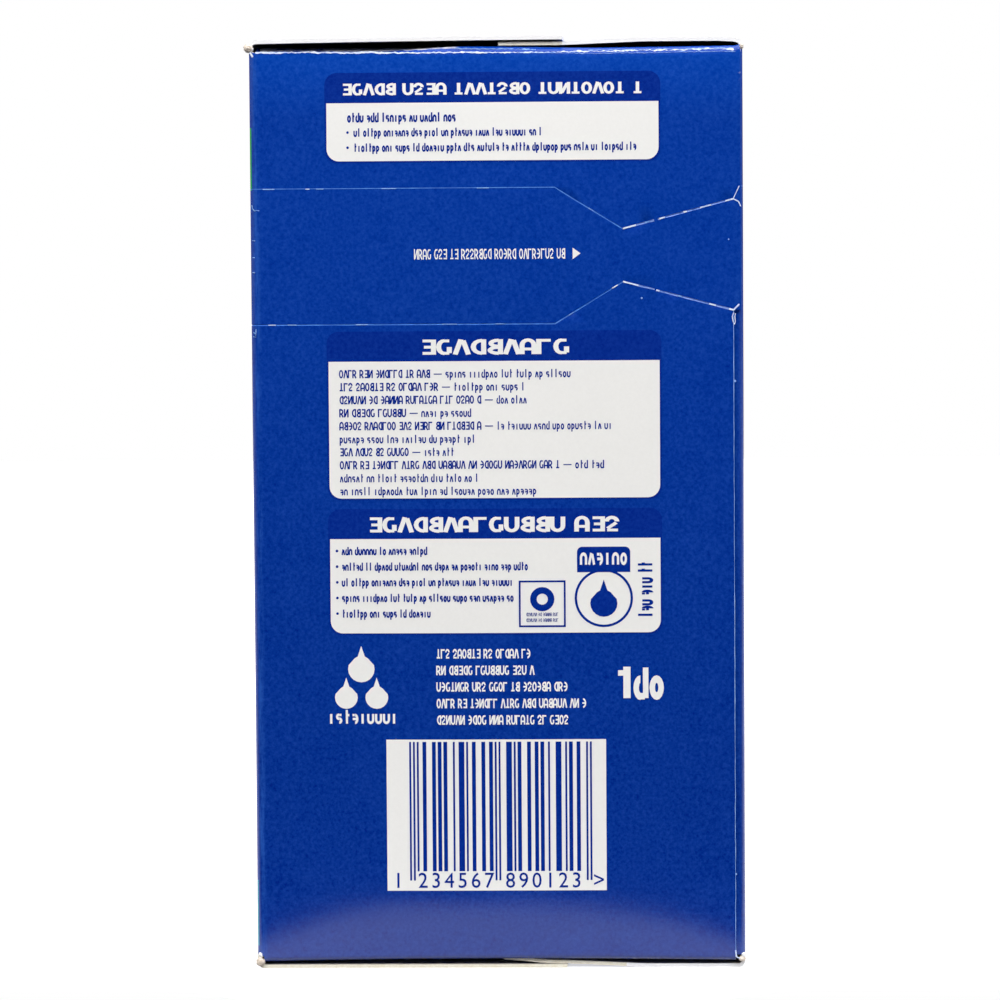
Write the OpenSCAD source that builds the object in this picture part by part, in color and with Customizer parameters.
// Sealed folding carton of washing powder, standing on its glued bottom flaps.
// The narrow side panel with the printed details faces -Y, the front panel -X, the back panel +X.

/* [Carton] */
// Width of the two narrow side panels
side_w = 85; // [75:1:120]
// Width of the front and back panels
front_w = 118; // [80:1:180]
// Height of a side panel between its two end folds
panel_h = 158.7; // [150:0.1:240]
// Thickness of the board
board_t = 0.6; // [0.4:0.05:0.9]
// Outside radius of the upright folds and of the big flaps' folds
fold_r = 1.2; // [1:0.1:3]
// Outside radius of the folds between the side panels and their dust flaps
dust_fold_r = 1; // [0.8:0.1:2.5]

/* [End flaps] */
// Length of the outer flap, hinged on the front panel
outer_flap = 54; // [50:0.5:65]
// Length of the inner flap, hinged on the back panel
inner_flap = 42; // [36:0.5:60]
// Length over which the inner flap dips under the outer one
flap_dip = 14; // [8:0.5:18]
// Slack between the dust flap and the inner flap
flap_slack = 0.2; // [0.1:0.05:0.5]
// How far the big flaps' cut edges stand back from the side panels
flap_setback = 0.5; // [0.2:0.1:1]
// Depth of the open gap between the dust flap and the big flaps
gap_depth = 12; // [6:0.5:20]
// Width of the closed corner at each end of that gap
gap_corner = 1.2; // [0.8:0.1:3]

/* [Glued seam] */
// Distance from the corner to the raw edge of the glued side panel
seam_in = 1.7; // [1:0.1:4]

/* [Tear strip] */
// Distance from the top end fold down to the strip's upper line
strip_drop = 23.6; // [20:0.1:30]
// Height of the strip between its two lines
strip_h = 23.4; // [22:0.1:26]
// Width of a scored line
score_w = 0.3; // [0.2:0.05:0.5]
// Depth of a scored line
score_d = 0.25; // [0.1:0.05:0.35]
// Distance from the corner to where the strip starts to narrow
narrow_start = 32.4; // [28:0.1:40]
// Distance from the corner to the narrow neck behind the pull tab
neck_in = 20.7; // [18:0.1:24]
// Height of the neck
neck_h = 9.1; // [6:0.1:14]
// Height of the pull tab at its free end
tab_h = 19.1; // [16:0.1:21]
// Length left uncut at each holding nick along the tab
nick_w = 0.8; // [0.4:0.1:1.5]

/* [Printed fields] */
// Height of the printed fields above the board
ink_t = 0.06; // [0.04:0.01:0.15]
// Plain margin beside the information panels
info_margin = 13.6; // [10:0.1:16]
// Corner radius of the information panels
info_r = 2.1; // [1:0.1:3.5]
// Height of an information panel's header band
header_h = 5.2; // [4.5:0.1:7]
// Width of the pale field behind the bars
label_w = 38.1; // [36:0.1:50]
// Height of the pale field behind the bars
label_h = 26.4; // [24:0.1:30]
// Distance from the bottom end fold up to that pale field
label_up = 12.3; // [8:0.1:20]
// Width of the thinnest bar
bar_w = 0.33; // [0.25:0.01:0.38]
// Radius of the ring in the last information panel
ring_r = 5; // [3.5:0.1:5.5]
// Height of the net weight's figure
weight_h = 5.7; // [4:0.1:8]

/* [Hidden] */
$fn = 64;

over = 1;
closure_h = 2 * board_t + flap_slack;
carton_h = panel_h + 2 * closure_h;
side_x = side_w / 2;
side_y = front_w / 2;
panel_low = closure_h;
panel_top = closure_h + panel_h;

outer_edge = -side_x + outer_flap;
inner_edge = side_x - inner_flap;
dip_end = outer_edge + flap_dip;

strip_top = panel_top - strip_drop - dust_fold_r;
strip_low = strip_top - strip_h;
strip_mid = (strip_top + strip_low) / 2;
narrow_x = side_x - narrow_start;
neck_x = side_x - neck_in;
tab_x = side_x - seam_in;
seam_x = side_x - seam_in;
tab_reach = 1.4;
tab_turn = 1.3;
notch_h = 2.6;

// Information panels: drop of the header's top below the strip or the top end fold, white height,
// the title row's share of the width and its height, and each line's length as a share of the width.
info_w = side_w - 2 * info_margin;
info_x = -0.55;
text_inset = 2;
contact_drop = 3.7;
contact_h = 10.3;
contact_title = [0.9, 2.1];
contact_lines = [0.33, 0.57, 0.86];
recipe_drop = 1.2;
recipe_h = 24;
recipe_title = [0.45, 2.5];
recipe_lines = [0.7, 0.56, 0.56, 0.4, 0.83, 0.41, 0.35, 0.8, 0.42, 0.59];
care_gap = 1.5;
care_h = 16.7;
care_title = [0.76, 2.6];
care_lines = [0.27, 0.57, 0.53, 0.53, 0.28];

recipe_top = strip_low - recipe_drop;
care_top = recipe_top - header_h - recipe_h - care_gap;
block_top = care_top - header_h - care_h;
lines_drop = 3.3;
lines_step = 2.85;
lines_t = 1.5;
lines_x = -10.9;
lines_long = [16.4, 17, 22.8, 26, 23];
emblem_x = -23.7;
emblem_r = 2.1;
emblem_bar_w = 11;
emblem_bar_t = 1;
strip_row_x = -14.2;
strip_row_w = 26;
strip_row_h = 2;
arrow_x = 13;
arrow_w = 1.5;
weight_x = 21;
weight_w = 1.3;
weight_drop = 8.1;
green_h = 10.4;
teal_up = 3;
teal_h = 11;

// Last information panel: a ring under a dark block, and a framed square beside them
ring_in = 10;
ring_up = 1.5;
ring_line = 0.5;
block_w = 9.2;
block_h = 3.6;
frame_w = 8;
frame_line = 0.4;
frame_gap = 2;

// Bars: how far they stay off the label's edge above and below, and how far the longer guard bars reach down
bars_drop = 0.4;
bars_up = 3.4;
guard_reach = 1.6;
bars_in = 3.95;
bar_count = 28;
function bar_modules(i) = 1 + floor(2.1 * abs(sin(77 * i + 20)));
function gap_modules(i) = 1 + floor(1.7 * abs(sin(131 * i + 40)));
function bar_start(i) = i == 0 ? 0 : bar_start(i - 1) + bar_modules(i - 1) + gap_modules(i - 1);
function is_guard(i) = i < 2 || i > bar_count - 3 || i == 13 || i == 14;

module blue() { color([0.03, 0.2, 0.62]) children(); }
module navy() { color([0.02, 0.15, 0.5]) children(); }
module white() { color([0.93, 0.93, 0.92]) children(); }
module green() { color([0.1, 0.62, 0.32]) children(); }
module teal() { color([0.1, 0.55, 0.68]) children(); }

// A rectangle about the origin with round corners, drawn from squares and circles
module round_rect(w, h, r) {
  square([w - 2 * r, h], center = true);
  square([w, h - 2 * r], center = true);
  for (x = [-1, 1], y = [-1, 1])
    translate([x * (w / 2 - r), y * (h / 2 - r)])
      circle(r);
}

// The carton's outline from above, drawn in by a distance all round
module plan(inset = 0) {
  round_rect(side_w - 2 * inset, front_w - 2 * inset, fold_r - inset);
}

// Panels with their upright folds, closed at both ends by the dust flaps
module tube_with_dust_flaps() {
  intersection() {
    translate([0, 0, panel_low])
      linear_extrude(panel_h)
        plan();
    translate([-side_x - over, 0, carton_h / 2])
      rotate([90, 0, 90])
        linear_extrude(side_w + 2 * over)
          round_rect(front_w, panel_h, dust_fold_r);
  }
}

// Upper outline of the two big flaps, seen from the printed side, over the level of the dust flap
module flap_outline() {
  polygon([
    [-side_x, panel_top - over], [-side_x, carton_h - fold_r],
    [-side_x + fold_r, carton_h - fold_r], [-side_x + fold_r, carton_h],
    [outer_edge, carton_h], [outer_edge, carton_h - board_t],
    [dip_end, carton_h], [side_x - fold_r, carton_h],
    [side_x - fold_r, carton_h - fold_r], [side_x, carton_h - fold_r],
    [side_x, panel_top - over],
  ]);
  for (x = [-1, 1])
    translate([x * (side_x - fold_r), carton_h - fold_r])
      circle(fold_r);
}

// The open gap that shows between the dust flap and the big flaps' cut edges
module gap_outline() {
  corner_x = side_x - gap_corner;
  polygon([
    [-corner_x, panel_top], [corner_x, panel_top],
    [corner_x - gap_corner, carton_h - board_t - flap_slack],
    [corner_x - 3 * gap_corner, carton_h - board_t],
    [dip_end, carton_h - board_t], [outer_edge, carton_h - 2 * board_t],
    [inner_edge, carton_h - 2 * board_t], [inner_edge, carton_h - board_t],
    [-corner_x + 2 * gap_corner, carton_h - board_t],
    [-corner_x + gap_corner, carton_h - board_t - flap_slack],
  ]);
}

// The outer flap glued down over the inner one at the top end
module big_flaps() {
  flaps_y = side_y - flap_setback;
  difference() {
    intersection() {
      translate([0, flaps_y, 0])
        rotate([90, 0, 0])
          linear_extrude(2 * flaps_y)
            flap_outline();
      linear_extrude(carton_h)
        plan();
    }
    for (turn = [0, 1])
      mirror([0, turn, 0])
        translate([0, gap_depth - flaps_y, 0])
          rotate([90, 0, 0])
            linear_extrude(gap_depth + over)
              gap_outline();
  }
}

module both_closures() {
  big_flaps();
  translate([0, 0, carton_h])
    mirror([0, 0, 1])
      big_flaps();
}

// Below the tab the glued panel ends short of the corner, and the back panel's fold shows beside it
module seam_step() {
  step_h = strip_mid - tab_h / 2;
  linear_extrude(step_h)
    difference() {
      translate([seam_x, -side_y - over])
        square([seam_in + over, board_t + fold_r + over]);
      translate([side_x - fold_r, -side_y + board_t + fold_r])
        circle(fold_r);
      translate([seam_x - over, -side_y + board_t])
        square([over + seam_in - fold_r, fold_r + over]);
    }
}

// Stands a flat drawing on the printed side panel and gives it a thickness outwards
module on_side(t, sink = 0) {
  translate([0, -side_y + sink, 0])
    rotate([90, 0, 0])
      linear_extrude(t)
        children();
}

// One straight cut in the printed side panel from a to b
module side_cut(a, b, depth) {
  run = b - a;
  on_side(depth + over, depth)
    translate(a)
      rotate(atan2(run[1], run[0]))
        translate([-score_w / 2, -score_w / 2])
          square([norm(run) + score_w, score_w]);
}

// A cut held by a nick of uncut board a given share of the way along
module nicked_cut(a, b, share) {
  run = b - a;
  stop = run * (share - nick_w / 2 / norm(run));
  start = run * (share + nick_w / 2 / norm(run));
  side_cut(a, a + stop, board_t);
  side_cut(a + start, b, board_t);
}

// Tear strip on the printed side: two scores, the narrowing to the neck and the cut outline of the tab.
// up is 1 for the upper half and -1 for the lower one.
module strip_half(up) {
  line = [-side_x, strip_mid + up * strip_h / 2];
  narrow = [narrow_x, line[1]];
  neck = [neck_x, strip_mid + up * neck_h / 2];
  corner = [tab_x, strip_mid + up * tab_h / 2];
  side_cut(line, narrow, score_d);
  side_cut(narrow, neck, score_d);
  nicked_cut(neck, corner, 0.32);
}

// The two lines carry on round the front and the far side, and the upper one is the hinge at the back
module ring_score(z) {
  translate([0, 0, z - score_w / 2])
    linear_extrude(score_w)
      difference() {
        square([side_w + 2 * over, front_w + 2 * over], center = true);
        plan(score_d);
      }
}

module strip_round_the_carton() {
  difference() {
    union() {
      ring_score(strip_top);
      ring_score(strip_low);
    }
    translate([-side_x + fold_r, -side_y - 2 * over, 0])
      cube([side_w + over, fold_r + 2 * over, carton_h]);
    translate([side_x - fold_r, -side_y - over, 0])
      cube([fold_r + 2 * over, front_w + 2 * over, strip_mid]);
  }
}

// Notch above the tab's free end, where the panel runs out slanting to the corner
module tab_notch() {
  tab_top = strip_mid + tab_h / 2;
  on_side(board_t + over, board_t)
    polygon([
      [tab_x, tab_top], [side_x - seam_in + tab_reach, tab_top - tab_turn],
      [side_x + over, tab_top - tab_turn], [side_x + over, tab_top + notch_h],
      [side_x - seam_in + tab_reach, tab_top + notch_h],
    ]);
}

// A printed field: a flat drawing raised a little over the side panel
module printed(level = 1) {
  on_side(level * ink_t + board_t / 2, board_t / 2)
    children();
}

// Top band of an information panel, its upper corners round, from its lower edge upwards
module band_shape(h) {
  translate([-info_w / 2 + info_r, 0])
    square([info_w - 2 * info_r, h]);
  translate([-info_w / 2, 0])
    square([info_w, h - info_r]);
  for (x = [-1, 1])
    translate([x * (info_w / 2 - info_r), h - info_r])
      circle(info_r);
}

// Rows of plain bars that stand for lines of small type, from the top down
module type_rows(shares, row_h, pitch) {
  for (i = [0 : len(shares) - 1])
    translate([-info_w / 2 + text_inset, -(i + 1) * pitch])
      square([shares[i] * info_w, row_h]);
}

// One information panel. title holds the title row's share of the width and its height.
module info_panel(top, field_h, title, shares) {
  pitch = field_h / (len(shares) + 0.6);
  row_h = min(lines_t, pitch * 0.62);
  title_w = title[0] * info_w;
  translate([info_x, 0, top - header_h]) {
    navy()
      printed()
        band_shape(header_h);
    white()
      printed()
        mirror([0, 1])
          band_shape(field_h);
    white()
      printed(2)
        translate([-title_w / 2, (header_h - title[1]) / 2])
          square([title_w, title[1]]);
    navy()
      printed(2)
        type_rows(shares, row_h, pitch);
  }
}

// Plain ring under a dark block and a framed square, in the last information panel
module care_marks() {
  ring_x = info_w / 2 + info_x - ring_in;
  ring_z = block_top + ring_r + ring_up;
  frame_x = ring_x - ring_r - frame_gap - frame_w;
  frame_z = ring_z - ring_r;
  navy()
    printed(2) {
      translate([ring_x, ring_z])
        difference() {
          circle(ring_r);
          circle(ring_r - ring_line);
        }
      translate([ring_x, ring_z])
        drop(ring_r * 0.4);
      translate([ring_x - block_w / 2, ring_z + ring_r - ring_line])
        square([block_w, block_h]);
      translate([frame_x, frame_z])
        difference() {
          square([frame_w, frame_w]);
          translate([frame_line, frame_line])
            square([frame_w - 2 * frame_line, frame_w - 2 * frame_line]);
        }
      translate([frame_x + frame_w / 2, frame_z + frame_w / 2])
        circle(frame_w / 4);
    }
}

// A water drop with its point up
module drop(r) {
  circle(r);
  rotate(45)
    square(r);
}

// Three drops over a thin bar
module emblem() {
  low_drops = 3.2 * emblem_r;
  bar_drop = 5.6 * emblem_r;
  white()
    printed() {
      translate([emblem_x, block_top - lines_drop - emblem_r])
        drop(emblem_r);
      for (x = [-1, 1])
        translate([emblem_x + x * emblem_r * 1.25, block_top - lines_drop - low_drops])
          drop(emblem_r * 0.85);
      translate([emblem_x - emblem_bar_w / 2, block_top - lines_drop - bar_drop])
        square([emblem_bar_w, emblem_bar_t]);
    }
}

module address_rows() {
  white()
    printed()
      for (i = [0 : len(lines_long) - 1])
        translate([lines_x, block_top - lines_drop - lines_t / 2 - i * lines_step])
          square([lines_long[i], lines_t]);
}

// The plain figure 1 of the net weight
module weight_figure() {
  white()
    printed()
      translate([weight_x, block_top - lines_drop - weight_drop])
        square([weight_w, weight_h]);
}

// Upright bars of a made-up code: each bar's width follows from its number
module bars() {
  label_low = panel_low + label_up;
  label_x = info_x - label_w / 2;
  top = label_low + label_h - bars_drop;
  white()
    printed()
      translate([label_x, label_low])
        square([label_w, label_h]);
  navy()
    printed(2)
      for (i = [0 : bar_count - 1]) {
        low = label_low + bars_up - (is_guard(i) ? guard_reach : 0);
        translate([label_x + bars_in + bar_start(i) * bar_w, low])
          square([bar_modules(i) * bar_w, top - low]);
      }
}

// Small arrow and one row of type on the tear strip
module strip_print() {
  white()
    printed() {
      translate([strip_row_x, strip_mid - strip_row_h / 2])
        square([strip_row_w, strip_row_h]);
      translate([arrow_x, strip_mid])
        polygon([[0, -strip_row_h / 2], [arrow_w, 0], [0, strip_row_h / 2]]);
    }
}

// Two plain bands of colour on the front panel, of which the side view shows only the ends
module front_band(low, h) {
  translate([-side_x - ink_t, -side_y + fold_r, low])
    cube([ink_t + board_t / 2, front_w - 2 * fold_r, h]);
}

module front_bands() {
  green()
    front_band(strip_top + score_w, green_h);
  teal()
    front_band(panel_low + teal_up, teal_h);
}

module carton() {
  blue()
    difference() {
      union() {
        tube_with_dust_flaps();
        both_closures();
      }
      seam_step();
      strip_half(1);
      strip_half(-1);
      strip_round_the_carton();
      tab_notch();
    }
  info_panel(panel_top - dust_fold_r - contact_drop, contact_h, contact_title, contact_lines);
  info_panel(recipe_top, recipe_h, recipe_title, recipe_lines);
  info_panel(care_top, care_h, care_title, care_lines);
  care_marks();
  emblem();
  address_rows();
  weight_figure();
  bars();
  strip_print();
  front_bands();
}

carton();
